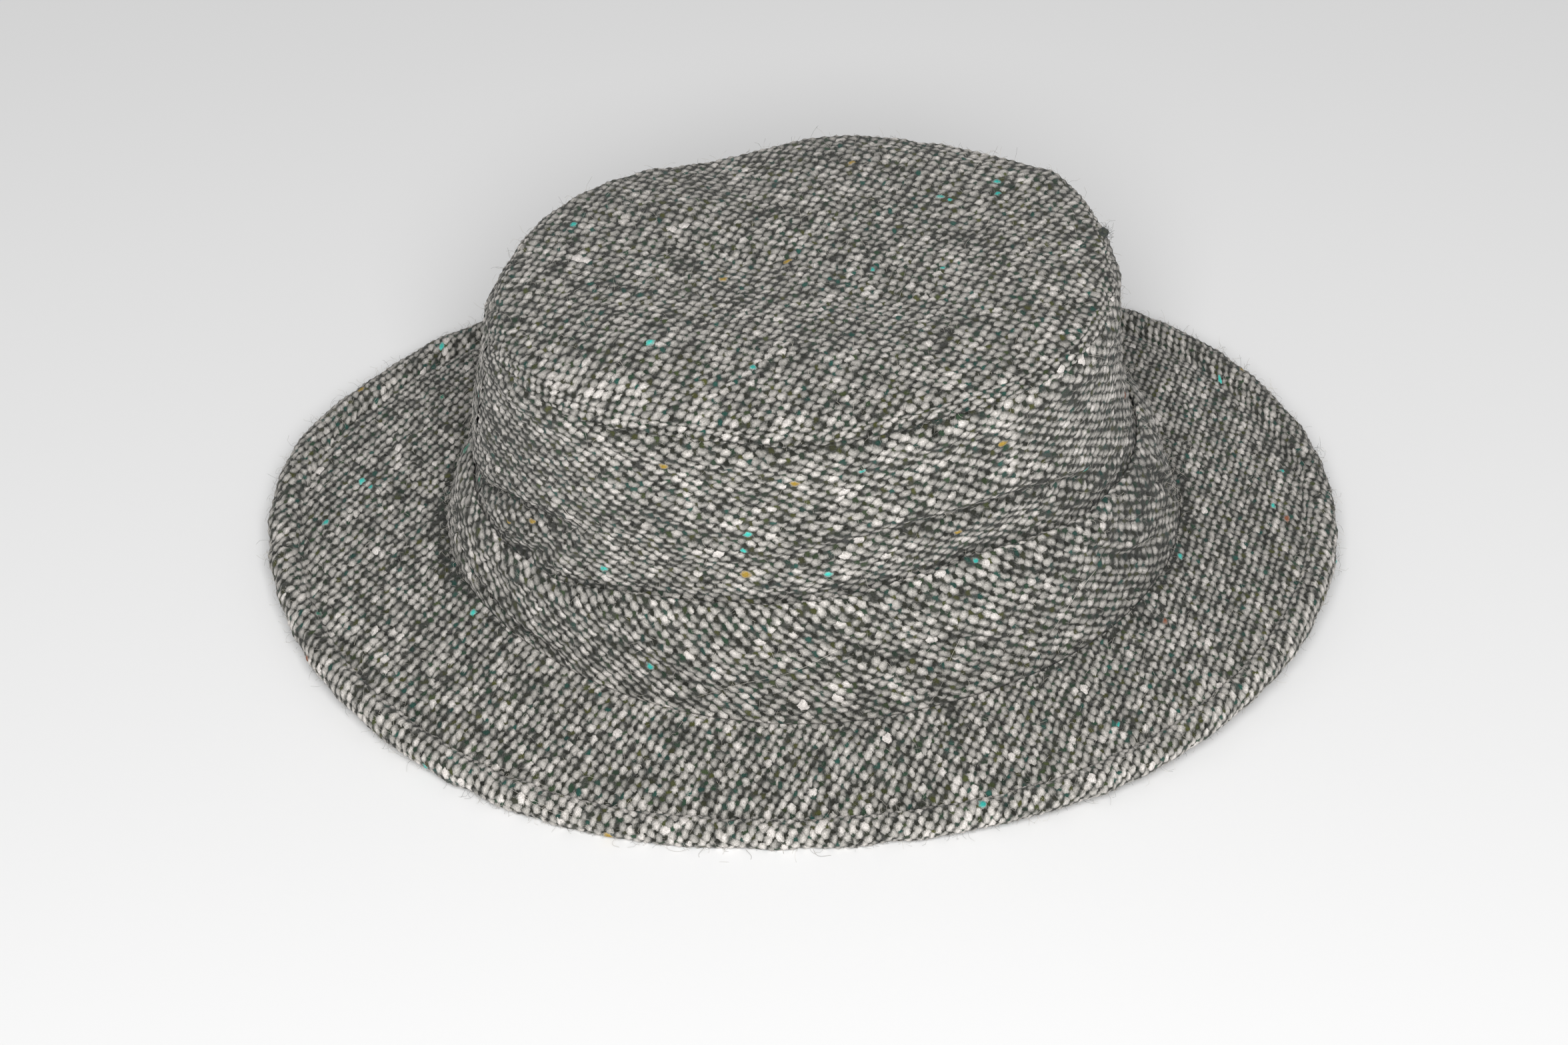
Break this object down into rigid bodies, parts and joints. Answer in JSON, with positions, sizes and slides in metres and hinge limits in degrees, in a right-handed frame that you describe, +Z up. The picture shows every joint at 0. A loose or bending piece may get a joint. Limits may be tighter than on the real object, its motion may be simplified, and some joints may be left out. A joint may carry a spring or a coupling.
{
  "type": "fedora",
  "caption": "Soft low-crowned hat sewn of coarse flecked tweed, with an oval flat tip, a plain self-cloth band and a brim with a padded turned edge.",
  "frame": {"origin": "middle of the hat's box in plan, on the level surface that the hat rests on", "axes": "+X along the head opening's long axis, towards the wearer's forehead, +Y to the wearer's left, +Z up through the crown"},
  "size_m": [0.3056, 0.2405, 0.1081],
  "materials": {
    "tweed_tip": "coarse plain-woven wool tweed, grey with coloured flecks, matt",
    "tweed_wall": "coarse plain-woven wool tweed, grey with coloured flecks, matt",
    "tweed_band": "coarse plain-woven wool tweed, grey with coloured flecks, matt, top edge folded in",
    "tweed_brim": "two pressed layers of coarse wool tweed with a padded, turned edge, matt"
  },
  "bodies": {
    "root": {"crown_tip": "tweed_tip", "crown_wall": "tweed_wall", "hat_band": "tweed_band", "brim": "tweed_brim"}
  },
  "joints": []
}
